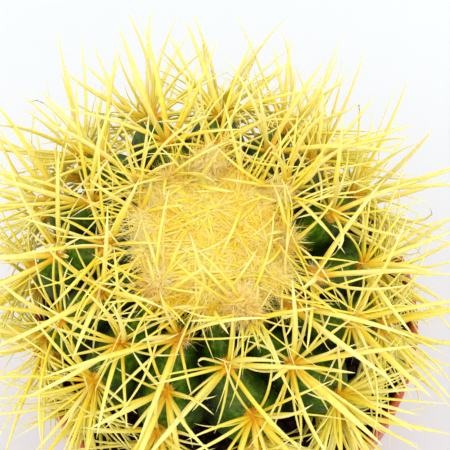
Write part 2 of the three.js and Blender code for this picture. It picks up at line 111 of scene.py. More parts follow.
# Young spines lie flat over the felt in fans. Each curves by so many radians, and arches over its neighbours.
# Headings and curves spread first from fan to fan, and then from spine to spine.
STRAND = Sizes(
    fans=42, fan=12, ring=(5, 25.5), outward=0.14, length=(24, 47), radius=(0.2, 0.37), sides=6, flat=1.5,
    scatter=0.8, scatter_turn=0.05, headings=(0.6, 0.24), curve=1.6, curves=(0.6, 0.2), lift=(0.2, 1.5),
    lift_fades=(-0.1, 0.2), arch=(0.1, 1.1), arch_power=0.8, rise=0.45, sway=0.3,
)
# Where the tan tufts of the youngest areoles stand: azimuth in degrees, distance from the axis, size.
TUFTS = (
    (93, 25, 7.0), (124, 24.5, 2.6), (38, 26, 4.2), (2, 22.5, 3.2), (293, 23.5, 7.0), (220, 22.5, 5.2),
)
# Hairs of a tuft for each millimetre of its size, with rare brown flecks low down.
TUFT = Sizes(
    hairs=190, hair=(1.6, 4.2), width=0.2, steps=4, spread=0.8, rise=1.35, lift=0.5, wild=0.8, bend=0.6,
    curl=0.6, upwards=0.8, sway=0.6, tone=0.5, tone_spread=0.07, paler=0.3, fleck=0.45, fleck_power=4,
)
GOLDEN_TURN = np.radians(137.5)

# One areole's spines: turn from straight down the rib and tilt from the surface normal in degrees, length and
# radius in millimetres.
CENTRAL = Sizes(
    turns=(82, 150, 212, 278), spread=20, tilt=(18, 52), length=(29, 44), radius=(0.5, 0.8),
    bow=(0.12, 0.8),
)
LOWER = Sizes(turns=(0,), spread=24, tilt=(40, 64), length=(27, 40), radius=(0.66, 0.9), bow=(0.05, 0.5))
RADIAL = Sizes(
    turns=(24, 62, 98, 134, 170, 208, 246, 284, 326), spread=18, tilt=(54, 80), length=(17, 32),
    radius=(0.38, 0.56), bow=(0.2, 1.0),
)
# Further spines of the areoles low on the flank, which reach out over the soil and the rim.
FLANK = Sizes(
    turns=(-96, -80, -64, -48, -32, -16, 0, 16, 32, 48, 64, 80, 96), spread=12, tilt=(30, 82),
    length=(20, 42), radius=(0.28, 0.48), bow=(0.15, 0.9), from_arc=30,
)
# Further and stronger ones low on the side where the body is fullest, which close over the soil.
SWOLLEN = Sizes(
    turns=(-84, -56, -28, 0, 28, 56, 84), spread=14, tilt=(44, 82), length=(17, 29), radius=(0.34, 0.66),
    bow=(0.1, 0.7), from_arc=14, within=36,
)
# The youngest areoles stand in the crown's edge, above the ribs whose first areole is far down.
YOUNG = Sizes(
    turns=(10, 70, 130, 190, 250, 310), spread=24, tilt=(16, 70), length=(15, 30), radius=(0.4, 0.66),
    bow=(0.1, 0.8), lift=2.4, from_start=9,
)
# Each tuft of the crown holds a bunch of its own, which leans outwards by so many degrees.
BUNCH = Sizes(
    turns=(0, 60, 120, 180, 240, 300), spread=28, tilt=(24, 80), length=(18, 36), radius=(0.28, 0.46),
    bow=(0.2, 1.1), lean=20, lift=0.2,
)
# Spines whose tips hook round: their share, their turn in radians and where along the spine it starts.
HOOK = Sizes(share=0.04, turn=(1.4, 3.0), start=0.7)
# Strong single spines low on the front: rib and areole on it, turn, tilt, length and radius.
STRONG = (
    (12, 0, -8, 42, 37, 1.0),
    (12, 0, 60, 52, 38, 0.8),
    (12, 1, 126, 58, 22, 0.55),
    (12, 1, 105, 56, 25, 0.55),
    (12, 1, 80, 50, 26, 0.6),
    (12, 1, 54, 44, 27, 0.62),
    (13, 1, -80, 34, 37, 0.92),
    (13, 1, -92, 62, 25, 0.58),
    (13, 1, -84, 48, 28, 0.62),
    (13, 0, -28, 56, 40, 0.8),
    (11, 0, -74, 60, 46, 0.95),
    (11, 0, -112, 70, 26, 0.42),
    (11, 0, -84, 66, 17, 0.5),
    (11, 1, 22, 42, 33, 0.8),
    (11, 1, -34, 48, 33, 0.7),
    (10, 0, -62, 58, 46, 0.9),
    (10, 1, -12, 44, 34, 0.82),
    (10, 1, 34, 50, 32, 0.7),
)
# Two more that curl: rib and areole on it, turn, tilt, length, radius, hook and where the hook starts.
CURLED = (
    (11, 0, 224, 64, 14, 0.56, 3.3, 0.57),
    (12, 0, 215, 46, 15, 0.36, 6.6, 0.45),
)
# Spots where the skin shows between the spines: place round the ribs, arc from the crown's edge and radius.
CLEARINGS = ((14.95, 2.5, 3.6), (14.6, 9, 2.6), (10.5, 8, 2.7))
# The camera looks at its target from the front, so many degrees above the horizon.
CAMERA = Sizes(elevation=66.07, distance=600, target=(0.14, 21.2, POT.height + 30), lens=145.2, sensor=36)
# How far the palest spines are the stoutest ones, and between which radii.
PALER = Sizes(share=0.4, thin=0.35, stout=0.85)
# Spines start a little above the skin, within a ring round the areole's middle, and droop as they bow.
SPINE = Sizes(sides=7, rings=13, flat=1.3, nudge=0.02, lift=0.5, ring=(0.2, 1.5), straight=1.3, droop=0.5)
SINGLE = Sizes(bow=0.15, droop=0.4)
# A spine narrows late and bluntly to its tip, and is a little wider at its foot.
TAPER = Sizes(tip=0.04, late=2.8, blunt=0.8, foot=0.2, foot_share=0.04)
HAIR = Sizes(curl_turn=3, curl_start=1, tip=0.1)
# How far spines keep from the skin, the soil, the collar and the rim, tested at stops past the root.
CLEAR = Sizes(skin=0.4, soil=1, collar=1.5, rim=0.8, stops=8, first=2)
# What each try does to a spine that isn't clear: degrees it is tipped up, and shares of it that stay.
SETTLE = Sizes(tries=14, tip_up=5, length=0.97, bow=0.8, hook=0.5)
# How far tips may pass the solids' box, as a share of it, and the least share of a spine that stays.
FIT = Sizes(slack=0.02, least=0.2, stops=5, tiny=1e-6)
SKY_STRENGTH = 1.16
# Lamps: place in metres and power. Both look at the plant's middle.
LAMPS = {"key": ((-0.2, -0.15, 1.3), 4.1), "fill": ((0.7, 0.4, 0.9), 1.6)}
LAMP_SIZE = 1.0
LAMP_TARGET = (0, 0, 0.13)
FLOOR_HALF = 3000


# Meshes
def add_object(name, data):
    """A new object of the scene, made from its data."""
    thing = bpy.data.objects.new(name, data)
    bpy.context.scene.collection.objects.link(thing)
    return thing


def mesh_from(name, points, faces, paint, smooth=True):
    """An object from points in millimetres and rows of point numbers, in an array or a list."""
    mesh = bpy.data.meshes.new(name)
    rows = faces.tolist() if isinstance(faces, np.ndarray) else faces
    mesh.from_pydata((np.asarray(points) * MM).tolist(), [], rows)
    mesh.polygons.foreach_set("use_smooth", [smooth] * len(mesh.polygons))
    mesh.materials.append(paint)
    return add_object(name, mesh)


def note_on(thing, name, values):
    """Keeps one number for each point of the mesh, for its material to read."""
    note = thing.data.attributes.new(name, "FLOAT", "POINT")
    note.data.foreach_set("value", np.asarray(values, np.float32))


def grid_faces(rows, columns, closed):
    """Quads of a grid whose points run row by row. A closed grid's last column meets its first."""
    across = columns if closed else columns - 1
    row, column = np.meshgrid(np.arange(rows - 1), np.arange(across), indexing="ij")
    start = row * columns + column
    beside = row * columns + (column + 1) % columns
    return np.stack([start, start + columns, beside + columns, beside], -1).reshape(-1, 4)


def repeated(faces, count, each):
    """The faces of so many copies of a form, with so many points each."""
    copies = faces[None] + (np.arange(count) * each)[:, None, None]
    return copies.reshape(-1, faces.shape[1])


def icosphere(subdivisions):
    """Points and triangles of a ball of radius 1."""
    form = bmesh.new()
    bmesh.ops.create_icosphere(form, subdivisions=subdivisions, radius=1)
    points = np.array([v.co for v in form.verts])
    faces = np.array([[v.index for v in face.verts] for face in form.faces])
    form.free()
    return points, faces


def full_turn(count):
    """So many azimuths in radians, evenly spread."""
    return np.radians(np.arange(count) * 360 / count)


def around(r, turn, z):
    """Points by radius, azimuth in radians and height."""
    r, turn, z = np.broadcast_arrays(r, turn, z)
    return np.stack([r * np.cos(turn), r * np.sin(turn), z], -1)


def polar(points):
    """Radius and azimuth in radians of points."""
    return np.hypot(points[..., 0], points[..., 1]), np.arctan2(points[..., 1], points[..., 0])


def unit(vectors):
    return vectors / np.linalg.norm(vectors, axis=-1, keepdims=True)


def mix(a, b, share):
    return a + (b - a) * share


def eased(value, low, high):
    """0 below the low value and 1 above the high one, with a smooth passage between."""
    step = np.clip((value - low) / (high - low), 0, 1)
    return step * step * (3 - 2 * step)


def bell(offset):
    """1 at zero, less to both sides."""
    return np.exp(-(offset**2))


# Shape of the plant, in its own frame: the equator's centre is its origin
def meridian(angle):
    """Radius and height of the crest line by angle from the apex, in degrees."""
    top = angle <= 90
    power = np.where(top, 2 / BODY.top_power, 2 / BODY.base_power)
    r = BODY.radius * np.sin(np.radians(angle)) ** power
    rise = np.abs(np.cos(np.radians(angle))) ** power
    dish = BODY.dish_depth * bell(r / BODY.dish_radius)
    return r, np.where(top, BODY.top_height * rise - dish, -BODY.base_height * rise)


def meridian_stops():
    """Fine stops along the crest line, with their arc from the crown's edge and their outward normal."""
    angle = np.arange(0, BODY.last_angle + BODY.angle_step / 2, BODY.angle_step)
    r, z = meridian(angle)
    arc = np.concatenate([[0], np.cumsum(np.hypot(np.diff(r), np.diff(z)))])
    arc -= arc[np.argmax(r >= CROWN.edge)]
    dr, dz = np.gradient(r), np.gradient(z)
    size = np.hypot(dr, dz)
    return Sizes(angle=angle, r=r, z=z, arc=arc, out_r=-dz / size, out_z=dr / size)


STOPS = meridian_stops()
UNDER_CROWN = STOPS.angle < CROWN.within_angle
RIB_AZIMUTH = np.array([azimuth for azimuth, _ in RIBS], float)
RIB_START = np.array([start for _, start in RIBS], float)


def at_arc(arc, name):
    return np.interp(arc, STOPS.arc, getattr(STOPS, name))


def crest_azimuth(rib, arc):
    """Azimuth of a rib's crest in degrees. Ribs are counted on past a full turn."""
    turns, index = np.divmod(rib, len(RIBS))
    azimuth = RIB_AZIMUTH[index]
    share = np.maximum(0, np.cos(np.radians(azimuth - SLANT.towards)))
    run = np.clip(arc, SLANT.start, SLANT.end) - SLANT.pivot
    return azimuth + 360 * turns + SLANT.degrees * share * run / AREOLE.pitch


def groove_share(across):
    """0 on a crest and 1 in the middle of a groove, by the share of the way to the next crest."""
    return 1 - np.abs(2 * across - 1)


def groove_depth(r, angle):
    return BODY.groove_depth * np.where(angle <= 90, eased(r, *BODY.groove_fades), r / BODY.radius)


def past(turn, azimuth):
    """How many degrees an angle in radians is past an azimuth, from -180 to 180."""
    return (np.degrees(turn) - azimuth + 180) % 360 - 180


def girth(r, azimuth):
    """How much fuller than round the body is: it swells towards one side, between the crown and the soil."""
    side = bell(past(azimuth, BODY.full_side) / BODY.full_width)
    return 1 + BODY.fullness * eased(r, *BODY.full_fades) * side


def skin_point(place, arc, outward=0.0):
    """Point of the skin by place round the ribs (0 to their count) and by arc, moved along the normal."""
    rib = np.floor(place).astype(int)
    across = place - rib
    azimuth = np.radians(mix(crest_azimuth(rib, arc), crest_azimuth(rib + 1, arc), across))
    into = groove_share(across)
    r, z = at_arc(arc, "r"), at_arc(arc, "z")
    push = outward - groove_depth(r, at_arc(arc, "angle")) * into**BODY.groove_sharpness
    r = r * girth(r, azimuth) + at_arc(arc, "out_r") * push
    z = z + at_arc(arc, "out_z") * push
    return around(r, azimuth, z)


def above_body(points):
    """How far points in the plant's frame lie outside its skin."""
    r, turn = polar(points)
    r, z = r / girth(r, turn), points[:, 2]
    near = np.argmin((r[:, None] - STOPS.r) ** 2 + (z[:, None] - STOPS.z) ** 2, axis=1)
    over = (r - STOPS.r[near]) * STOPS.out_r[near] + (z - STOPS.z[near]) * STOPS.out_z[near]
    crests = crest_azimuth(np.arange(len(RIBS) + 1)[None, :], STOPS.arc[near][:, None])
    azimuth = crests[:, 0] + (np.degrees(turn) - crests[:, 0]) % 360
    rib = np.clip((crests <= azimuth[:, None]).sum(1) - 1, 0, len(RIBS) - 1)
    rows = np.arange(len(points))
    across = (azimuth - crests[rows, rib]) / (crests[rows, rib + 1] - crests[rows, rib])
    into = np.clip(groove_share(across), 0, 1)
    return over + groove_depth(STOPS.r[near], STOPS.angle[near]) * into**BODY.groove_sharpness


LEAN_FRONT = Matrix.Rotation(np.radians(BODY.lean_front), 3, "X")
LEAN_RIGHT = Matrix.Rotation(np.radians(BODY.lean_right), 3, "Y")
PLANT_TURN = np.array(LEAN_FRONT @ LEAN_RIGHT)
PLANT_PLACE = np.array([*BODY.offset, POT.height + BODY.above_rim], float)


def planted(points):
    """Points of the plant's frame in the pot's frame."""
    return points @ PLANT_TURN.T + PLANT_PLACE


def crown_radius(turn):
    return CROWN.radius + CROWN.tuft_reach * np.cos(CROWN.tufts * turn)


def hair_edge(turn):
    """How far from the axis the crown's hairs reach: an uneven edge with notches."""
    near, fine = (size * np.sin(turns * turn + turns) for size, turns in zip(CROWN.stray, CROWN.stray_turns))
    bare = sum(depth * bell(past(turn, azimuth) / width) for azimuth, width, depth in NOTCHES)
    return CROWN.radius - CROWN.hair_margin + near + fine - bare


def crown_top(r, turn):
    share = np.clip(r / crown_radius(turn), 0, 1)
    floor = np.interp(r, STOPS.r[UNDER_CROWN], STOPS.z[UNDER_CROWN]) + CROWN.clearance
    dome = CROWN.thickness * (1 - share**3) + CROWN.edge_thickness
    tufts = CROWN.tuft_height * share**2 * np.cos(CROWN.tufts * turn)
    lumps = CROWN.lump_height * np.sin(CROWN.lumps * turn + 1) * np.sin(np.pi * share)
    return floor + dome + tufts + lumps


def areoles_of(rib):
    return areoles_at(rib, np.arange(RIB_START[rib], AREOLE.last_arc, AREOLE.pitch))


def areoles_at(rib, arcs):
    """Surface points and frames of areoles on one rib's crest, one row for each."""
    ribs = np.full(len(arcs), float(rib))
    surface = skin_point(ribs, arcs)
    normal = unit(skin_point(ribs, arcs, 1.0) - surface)
    down = unit(skin_point(ribs, arcs + 1) - surface)
    across = unit(np.cross(normal, down))
    down = np.cross(across, normal)
    return Sizes(arc=arcs, surface=surface, normal=normal, down=down, across=across)


# Spines and hairs
def spine_lines(spines, share):
    """Points along each spine, which turns evenly from its first direction, or hooks near its tip."""
    angle = spines.bow[:, None] * share + spines.hook[:, None] * eased(share, spines.hook_from[:, None], 1)
    along, across = spines.along[:, None], spines.across[:, None]
    heading = along * np.cos(angle)[..., None] + across * np.sin(angle)[..., None]
    return spines.roots[:, None] + run_along(heading, share) * spines.lengths[:, None, None]


def run_along(heading, share):
    """How far each line has come at each share of it, by the way it heads there."""
    steps = (heading[:, 1:] + heading[:, :-1]) / 2 * np.diff(share)[None, :, None]
    return np.concatenate([np.zeros_like(steps[:, :1]), np.cumsum(steps, axis=1)], axis=1)


def bundle(name, centre, face, radii, sides, flat, paint, lot):
    """Tapered spines along centre lines in one mesh, whose flat sides look the way that face points."""
    count, rings, _ = centre.shape
    share = np.linspace(0, 1, rings)
    tangent = unit(np.gradient(centre, axis=1))
    side = unit(np.cross(tangent, face[:, None] + SPINE.nudge))
    over = np.cross(side, tangent)
    foot = 1 + TAPER.foot * bell(share / TAPER.foot_share)
    taper = TAPER.tip + (1 - TAPER.tip) * (1 - share**TAPER.late) ** TAPER.blunt
    size = radii[:, None] * (taper * foot)[None, :]
    turn = (np.arange(sides) * 2 * np.pi / sides)[None, None, :, None]
    ring = side[:, :, None] * np.cos(turn) * flat + over[:, :, None] * np.sin(turn) / flat
    points = (centre[:, :, None] + ring * size[:, :, None, None]).reshape(-1, 3)
    each = rings * sides
    faces = repeated(grid_faces(rings, sides, True), count, each)
    made = mesh_from(name, planted(points), faces, paint)
    shares = np.broadcast_to(share[None, :, None], (count, rings, sides))
    lengths = np.linalg.norm(np.diff(centre, axis=1), axis=2).sum(1)
    note_on(made, "along", shares.reshape(-1))
    note_on(made, "distance", (shares * lengths[:, None, None]).reshape(-1))
    note_on(made, "lot", np.repeat(lot, each))
    return made


def ribbons(roots, along, bend, curl, lengths, width, steps, face):
    """Flat hairs in one mesh, each a bowed and curled strip that faces the given way."""
    share = np.linspace(0, 1, steps + 1)[None, :, None]
    curled = curl[:, None] * np.sin(HAIR.curl_turn * share + HAIR.curl_start) * share
    line = along[:, None] * share + bend[:, None] * share**2 + curled
    centre = roots[:, None] + line * lengths[:, None, None]
    side = unit(np.cross(along, face))[:, None] * width * (1 + HAIR.tip - share)
    points = np.stack([centre - side / 2, centre + side / 2], 2)
    each = (steps + 1) * 2
    return points.reshape(-1, 3), repeated(grid_faces(steps + 1, 2, False), len(roots), each), each


def frizzy(kind, roots, along, draw):
    """Hairs of one kind, each with a bend and a curl of its own."""
    bend = kind.bend * random_units(draw, len(roots))
    curl = kind.curl * random_units(draw, len(roots))
    lengths = draw.uniform(*kind.hair, len(roots))
    face = [0, 0, kind.upwards] + kind.sway * random_units(draw, len(roots))
    return ribbons(roots, along, bend, curl, lengths, kind.width, kind.steps, face)


def mesh_of_hairs(name, hairs, tones, paint):
    points, faces, each = hairs
    made = mesh_from(name, planted(points), faces, paint)
    note_on(made, "lot", np.repeat(tones, each))
    return made


def draws(number):
    """The random numbers of one piece."""
    return np.random.default_rng([SEED, number])


def random_units(draw, count):
    return unit(draw.normal(size=(count, 3)))


def single_spine(areoles, place, turn, tilt, length, radius, hook=0, hook_from=0.9):
    """One spine of one areole. If it has a hook, its tip curls down the rib."""
    turn = np.radians(turn)
    down, across, normal = areoles.down[place], areoles.across[place], areoles.normal[place]
    heading = down * np.cos(turn) + across * np.sin(turn)
    values = dict(
        roots=areoles.surface[place] + normal * SPINE.lift + heading,
        heading=heading,
        normal=normal,
        tilt=np.radians(tilt),
        lengths=length,
        radii=radius,
        bow=SINGLE.bow,
        hook=hook,
        hook_from=hook_from,
        lean=down - SINGLE.droop * normal,
    )
    return Sizes(**{name: np.array([value], float) for name, value in values.items()})


def draw_spines(kind, areoles, draw):
    """One kind of spine on every areole given, each with its own bow and some with a hook."""
    pick = np.repeat(np.arange(len(areoles.arc)), len(kind.turns))
    many = len(pick)
    down, across, normal = areoles.down[pick], areoles.across[pick], areoles.normal[pick]
    turn = np.tile(kind.turns, len(areoles.arc)) + draw.uniform(-kind.spread, kind.spread, many)
    turn = np.radians(turn)[:, None]
    spines = Sizes(normal=normal, heading=down * np.cos(turn) + across * np.sin(turn))
    spines.tilt = np.radians(draw.uniform(*kind.tilt, many))
    spines.lengths = draw.uniform(*kind.length, many)
    spines.radii = draw.uniform(*kind.radius, many)
    outwards = spines.heading * draw.uniform(*SPINE.ring, many)[:, None]
    spines.roots = areoles.surface[pick] + normal * SPINE.lift + outwards
    spines.bow = mix(*kind.bow, draw.uniform(0, 1, many) ** SPINE.straight)
    hooked = draw.uniform(0, 1, many) < HOOK.share
    spines.hook = np.where(hooked, draw.uniform(*HOOK.turn, many), 0)
    spines.hook_from = np.full(many, HOOK.start)
    spines.lean = random_units(draw, many) - SPINE.droop * normal
    return spines


def aim(spines):
    """Works out the directions from the tilts, with the bow's direction square to them."""
    tilt = spines.tilt[:, None]
    spines.along = spines.normal * np.cos(tilt) + spines.heading * np.sin(tilt)
    lean = spines.lean - spines.along * np.sum(spines.lean * spines.along, axis=1, keepdims=True)
    spines.across = unit(lean)


def is_clear(spines):
    """Whether each spine keeps clear of the skin, the soil and the pot past its own root."""
    lines = spine_lines(spines, np.linspace(0, 1, CLEAR.stops))
    good = np.ones(len(spines.roots), bool)
    for stop in range(CLEAR.first, CLEAR.stops):
        good &= above_body(lines[:, stop]) > CLEAR.skin
        placed = planted(lines[:, stop])
        low = placed[:, 2] < POT.height - SOIL.below_rim + SOIL.lump + CLEAR.soil
        within = polar(placed)[0] < POT.rim - POT.collar_wall - CLEAR.collar
        good &= ~low & (within | (placed[:, 2] > POT.height + CLEAR.rim))
    return good


def settled(spines):
    """Tips spines up and shortens them until they clear what is round them. The rest are left out."""
    for _ in range(SETTLE.tries):
        aim(spines)
        stuck = ~is_clear(spines)
        spines.tilt[stuck] -= np.radians(SETTLE.tip_up)
        spines.lengths[stuck] *= SETTLE.length
        spines.bow[stuck] *= SETTLE.bow
        spines.hook[stuck] *= SETTLE.hook
    aim(spines)
    return chosen(spines, is_clear(spines))


def chosen(spines, keep):
    return Sizes(**{name: values[keep] for name, values in vars(spines).items()})


def towards_camera():
    """The direction from what the camera looks at to the camera."""
    elevation = np.radians(CAMERA.elevation)
    return np.array([0, -np.cos(elevation), np.sin(elevation)])


def off_clearings(spines):
    """The spines that don't hide the spots where the skin shows."""
    lines = planted(spine_lines(spines, np.linspace(0, 1, SPINE.rings)))
    eye = np.array(CAMERA.target) + CAMERA.distance * towards_camera()
    keep = np.ones(len(spines.roots), bool)
    for place, arc, radius in CLEARINGS:
        spot = planted(skin_point(np.array([place], float), np.array([arc], float)))[0]
        beside = np.linalg.norm(np.cross(lines - spot, unit(eye - spot)), axis=-1)
        keep &= beside.min(axis=1) > radius
    return chosen(spines, keep)


def together(groups):
    return Sizes(**{name: np.concatenate([getattr(g, name) for g in groups]) for name in vars(groups[0])})


BOX_LOW, BOX_HIGH = (np.array(corner) / MM for corner in CAD_BOX)
BOX_SLACK = FIT.slack * (BOX_HIGH - BOX_LOW)


def fit_in_box(spines):
    """Cuts lengths so that every tip stays in the box of the solids, with a little slack."""
    lines = spine_lines(spines, np.linspace(0, 1, FIT.stops))
    start = planted(spines.roots)
    reach = planted(lines[:, -1]) - start
    room = np.where(reach > 0, BOX_HIGH + BOX_SLACK - start, BOX_LOW - BOX_SLACK - start)
    share = np.min(room / np.where(np.abs(reach) < FIT.tiny, FIT.tiny, reach), axis=1)
    spines.lengths = spines.lengths * np.clip(share, FIT.least, 1)


# Materials
def linear(code):
    """A colour written as six hexadecimal digits, as the renderer's linear values."""
    parts = [int(code[i : i + 2], 16) / 255 for i in (0, 2, 4)]
    return (*[p / 12.92 if p <= 0.04045 else ((p + 0.055) / 1.055) ** 2.4 for p in parts], 1)


class Paint:
    """A surface made of nodes, each placed by one short call."""

    def __init__(self, name, **constants):
        self.made = bpy.data.materials.new(name)
        self.made.use_nodes = True
        self.nodes = self.made.node_tree.nodes
        self.links = self.made.node_tree.links
        self.shader = self.nodes["Principled BSDF"]
        for socket, value in constants.items():
            self.shader.inputs[socket.replace("_", " ")].default_value = value
        self.place = self.nodes.new("ShaderNodeTexCoord").outputs["Object"]

    def set(self, socket, source):
        if isinstance(source, bpy.types.NodeSocket):
            self.links.new(source, socket)
        else:
            socket.default_value = linear(source) if isinstance(source, str) else source

    def finish(self, socket, source):
        self.set(self.shader.inputs[socket], source)

    def noise(self, scale, detail, roughness=0.6):
        node = self.nodes.new("ShaderNodeTexNoise")
        self.links.new(self.place, node.inputs["Vector"])
        node.inputs["Scale"].default_value = scale
        node.inputs["Detail"].default_value = detail
        node.inputs["Roughness"].default_value = roughness
        return node.outputs["Fac"]

    def dots(self, scale, size):
        """1 in the middle of scattered round dots and 0 between them."""
        node = self.nodes.new("ShaderNodeTexVoronoi")
        self.links.new(self.place, node.inputs["Vector"])
        node.inputs["Scale"].default_value = scale
        return self.span(node.outputs["Distance"], size, 0.4 * size)

    def note(self, name):
        node = self.nodes.new("ShaderNodeAttribute")
        node.attribute_name = name
        return node.outputs["Fac"]

    def ramp(self, source, *stops):
        node = self.nodes.new("ShaderNodeValToRGB")
        elements = node.color_ramp.elements
        for _ in stops[2:]:
            elements.new(0.5)
        for element, (position, code) in zip(elements, stops):
            element.position = position
            element.color = linear(code)
        self.links.new(source, node.inputs["Fac"])
        return node.outputs["Color"]

    def span(self, source, low, high, to_low=0.0, to_high=1.0):
        node = self.nodes.new("ShaderNodeMapRange")
        self.links.new(source, node.inputs["Value"])
        for socket, value in zip(("From Min", "From Max", "To Min", "To Max"), (low, high, to_low, to_high)):
            node.inputs[socket].default_value = value
        return node.outputs["Result"]

    def maths(self, operation, a, b):
        node = self.nodes.new("ShaderNodeMath")
        node.operation = operation
        self.set(node.inputs[0], a)
        self.set(node.inputs[1], b)
        return node.outputs["Value"]

    def blend(self, share, a, b):
        node = self.nodes.new("ShaderNodeMix")
        node.data_type = "RGBA"
        self.set(node.inputs["Factor"], share)
        self.set(node.inputs["A"], a)
        self.set(node.inputs["B"], b)
        return node.outputs["Result"]

    def bump(self, height, distance, strength):
        node = self.nodes.new("ShaderNodeBump")
        node.inputs["Distance"].default_value = distance
        node.inputs["Strength"].default_value = strength
        self.links.new(height, node.inputs["Height"])
        self.links.new(node.outputs["Normal"], self.shader.inputs["Normal"])


def skin_paint():
    """Dark green flesh with thin grey waxy patches in places, partly real bloom and partly painted sheen, and
    painted shade near black in the grooves.
    """
    paint = Paint("cactus_skin", Subsurface_Weight=0.03, Subsurface_Scale=0.003, Specular_IOR_Level=0.07)
    green = paint.ramp(paint.noise(320, 5, 0.75), (0.34, "1c3400"), (0.5, "3c6202"), (0.66, "709c10"))
    # Grey patches in random places, partly real waxy bloom and partly painted sheen.
    bloom_and_sheen = paint.span(paint.noise(85, 5, 0.7), 0.5, 0.62)
    waxy_and_sheen = paint.blend(paint.maths("MULTIPLY", bloom_and_sheen, 0.45), green, "767e4a")
    # Painted shade: the skin darkens to near black in the grooves, where shade falls between the ribs.
    groove = paint.span(paint.note("groove"), 0.35, 0.95)
    base = paint.blend(groove, waxy_and_sheen, "081300")
    strewn = paint.maths("MULTIPLY", paint.dots(620, 0.2), paint.span(paint.noise(120, 3), 0.42, 0.62))
    speck = paint.maths("MULTIPLY", strewn, 0.55)
    paint.finish("Base Color", paint.blend(speck, base, "9fb08c"))
    paint.finish("Roughness", paint.span(paint.noise(130, 4), 0.3, 0.7, 0.34, 0.55))
    paint.bump(paint.noise(700, 5, 0.6), 0.0003, 0.5)
    return paint.made


def spine_paint(name, tones, clear, depth, gloss, patches):
    """Golden at the root and in patches, lemon yellow along the shaft, paler to the tip, with faint rings."""
    paint = Paint(
        name,
        Subsurface_Weight=clear,
        Subsurface_Scale=depth,
        Subsurface_Radius=(1.0, 0.95, 0.12),
        Specular_IOR_Level=gloss,
        Roughness=0.36,
    )
    shaft = paint.ramp(paint.note("along"), *zip((0.0, 0.05, 0.2, 0.45, 1.0), tones))
    beyond_root = paint.span(paint.note("along"), 0.08, 0.4)
    pale = paint.maths("MULTIPLY", paint.span(paint.note("lot"), 0.3, 1.0, 0.0, 0.85), beyond_root)
    drawn = paint.blend(pale, shaft, "f8ecaa")
    streak = paint.span(paint.noise(350, 3), 0.45, 0.75, 0.0, 0.35)
    streaked = paint.blend(streak, drawn, "ecca26")
    patch = paint.span(paint.noise(70, 2), 0.48, 0.66, 0.0, patches)
    paint.finish("Base Color", paint.blend(patch, streaked, "f4c61e"))
    rings = paint.maths("SINE", paint.maths("MULTIPLY", paint.note("distance"), 6.5), 0.0)
    paint.bump(rings, 0.0001, 0.18)
    return paint.made


def wool_paint(name, tones, depth=0.0):
    """Matted felt, pale with darker hairs, and green where it is bare. Only a cushion scatters light."""
    paint = Paint(
        name,
        Roughness=0.95,
        Subsurface_Weight=depth,
        Subsurface_Scale=0.004,
        Subsurface_Radius=(1.0, 0.85, 0.2),
        Specular_IOR_Level=0.0,
    )
    shade = paint.maths("ADD", paint.note("lot"), paint.span(paint.noise(260, 4), 0.3, 0.7, -0.12, 0.12))
    shade = paint.maths("ADD", shade, paint.span(paint.noise(55, 2), 0.35, 0.65, -0.25, 0.3))
    felt = paint.ramp(shade, *zip((0.0, 0.45, 0.75, 1.0), tones))
    paint.finish("Base Color", paint.blend(paint.note("bare"), felt, "12290a"))
    paint.bump(paint.noise(1500, 4), 0.0004, 0.7)
    return paint.made


def soil_paint(name, dark, light):
    """Damp potting soil, near black to brown in random patches."""
    paint = Paint(name, Specular_IOR_Level=0.25)
    colour = paint.ramp(paint.noise(420, 6, 0.7), (0.3, dark), (0.7, light))
    paint.finish("Base Color", colour)
    paint.finish("Roughness", paint.span(paint.noise(200, 3), 0.3, 0.7, 0.75, 1.0))
    paint.bump(paint.noise(1300, 6, 0.7), 0.0006, 0.9)
    return paint.made


def pot_paint():
    """Moulded orange plastic, a little mottled and scuffed."""
    paint = Paint("pot_plastic", Specular_IOR_Level=0.5, Subsurface_Weight=0.08, Subsurface_Scale=0.002)
    tone = paint.ramp(paint.noise(35, 5), (0.3, "b94a1d"), (0.7, "cf5c2a"))
    scuff = paint.span(paint.noise(240, 6, 0.75), 0.6, 0.72, 0.0, 0.25)
    paint.finish("Base Color", paint.blend(scuff, tone, "e0a184"))
    paint.finish("Roughness", paint.span(paint.noise(80, 5), 0.3, 0.7, 0.32, 0.5))
    paint.bump(paint.noise(1800, 3, 0.5), 0.00012, 0.4)
    return paint.made


# Pieces
def pot_profile():
    """The pot's section from the middle of its foot, up its outside, over the rim and down the inside."""
    base = POT.height - POT.collar
    inner = POT.clearance + POT.floor
    lip = POT.lip
    rim_turn = np.radians(np.linspace(0, 180, 13))
    half = POT.collar_wall / 2
    rim = [(POT.rim - half + half * np.cos(a), POT.height - half + half * np.sin(a)) for a in rim_turn]
    return [
        (0.01, 0.5),
        (1.6, 0.5),
        (2.0, 0),
        (POT.boss - 0.5, 0),
        (POT.boss, 0.3),
        (POT.boss + lip, POT.clearance),
        (POT.ring_inner - lip, POT.clearance),
        (POT.ring_inner - 0.2, 0.4),
        (POT.ring_inner + 0.5, 0),
        (POT.foot - lip, 0),
        (POT.foot - 0.3, 0.3),
        (POT.foot, lip),
        (mix(POT.foot, POT.shoulder, 0.5), mix(lip, base, 0.5)),
        (POT.shoulder - 0.1, base - 1.2),
        (POT.shoulder + 0.2, base - 0.4),
        (POT.shoulder + 1.0, base),
        (POT.rim - lip - 0.4, base),
        (POT.rim - lip + 0.2, base + 0.3),
        (POT.rim - lip + 0.35, base + 1),
        (POT.rim - 0.25, POT.height - 5.5),
        (POT.rim - 0.25, POT.height - 4.6),
        (POT.rim, POT.height - 4.2),
        *rim,
        (POT.rim - POT.collar_wall, POT.height - 4),
        (POT.rim - POT.collar_wall - lip / 2, base + POT.wall),
        (POT.shoulder - POT.wall, base),
        (POT.foot - POT.wall, inner),
        (0.01, inner),
    ]


